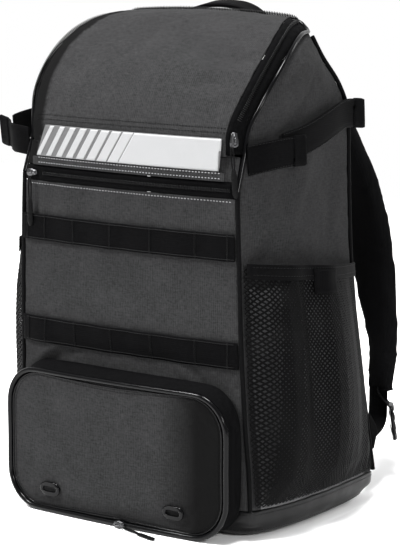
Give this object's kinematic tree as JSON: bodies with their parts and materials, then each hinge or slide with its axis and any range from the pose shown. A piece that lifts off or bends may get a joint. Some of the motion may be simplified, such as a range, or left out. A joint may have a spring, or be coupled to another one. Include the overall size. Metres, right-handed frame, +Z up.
{
  "type": "baseball bat backpack",
  "caption": "Upright cloth backpack with a curved zip flap, boxy front pocket, mesh side pockets with bat straps, webbing rows and padded shoulder straps.",
  "frame": {"origin": "middle of the flat base, on the floor", "axes": "+Z up, -Y the front with the box pocket, +X the wearer's right-hand side in the picture"},
  "size_m": [0.3817, 0.3887, 0.5137],
  "materials": {
    "charcoal_cloth": "heather weave",
    "black_cloth": "matte",
    "black_webbing": "ribbed",
    "black_mesh": "knitted net",
    "coated_cloth": "satin coating",
    "reflective_band": "reflective",
    "glossy_piping": "gloss",
    "gloss_plastic": "gloss",
    "dark_metal": "polished"
  },
  "bodies": {
    "root": {"back_panel": "black_cloth", "band": "reflective_band", "base_boot": "coated_cloth", "bat_strap_front_left": "black_webbing", "bat_strap_front_right": "black_webbing", "bat_strap_rear_left": "black_webbing", "bat_strap_rear_right": "black_webbing", "box_pocket_face": "charcoal_cloth", "box_pocket_gusset": "black_cloth", "box_pocket_piping": "glossy_piping", "box_pull": "black_webbing", "box_slider": "dark_metal", "flap": "charcoal_cloth", "flap_pull": "black_webbing", "flap_slider": "dark_metal", "flap_zip_coil": "black_cloth", "flap_zip_piping": "glossy_piping", "flap_zip_tape": "black_cloth", "front_panel": "charcoal_cloth", "front_piping_left": "black_cloth", "front_piping_right": "black_cloth", "haul_handle": "black_webbing", "ladder_lock_left": "gloss_plastic", "ladder_lock_right": "gloss_plastic", "lower_webbing_left": "black_webbing", "lower_webbing_right": "black_webbing", "mesh_binding_left": "black_webbing", "mesh_binding_right": "black_webbing", "mesh_pocket_left": "black_mesh", "mesh_pocket_right": "black_mesh", "pocket_pull": "black_webbing", "pocket_slider": "dark_metal", "pocket_zip_coil": "black_cloth", "pocket_zip_tape": "black_cloth", "rear_piping_left": "black_cloth", "rear_piping_right": "black_cloth", "shoulder_strap_left": "black_cloth", "shoulder_strap_right": "black_cloth", "side_panel_left": "charcoal_cloth", "side_panel_right": "charcoal_cloth", "slot_eyelet_left": "gloss_plastic", "slot_eyelet_right": "gloss_plastic", "strap_anchor_left": "black_cloth", "strap_anchor_right": "black_cloth", "top_yoke": "charcoal_cloth", "webbing_lower": "black_webbing", "webbing_upper": "black_webbing", "zip_guard_strip": "charcoal_cloth"}
  },
  "joints": []
}
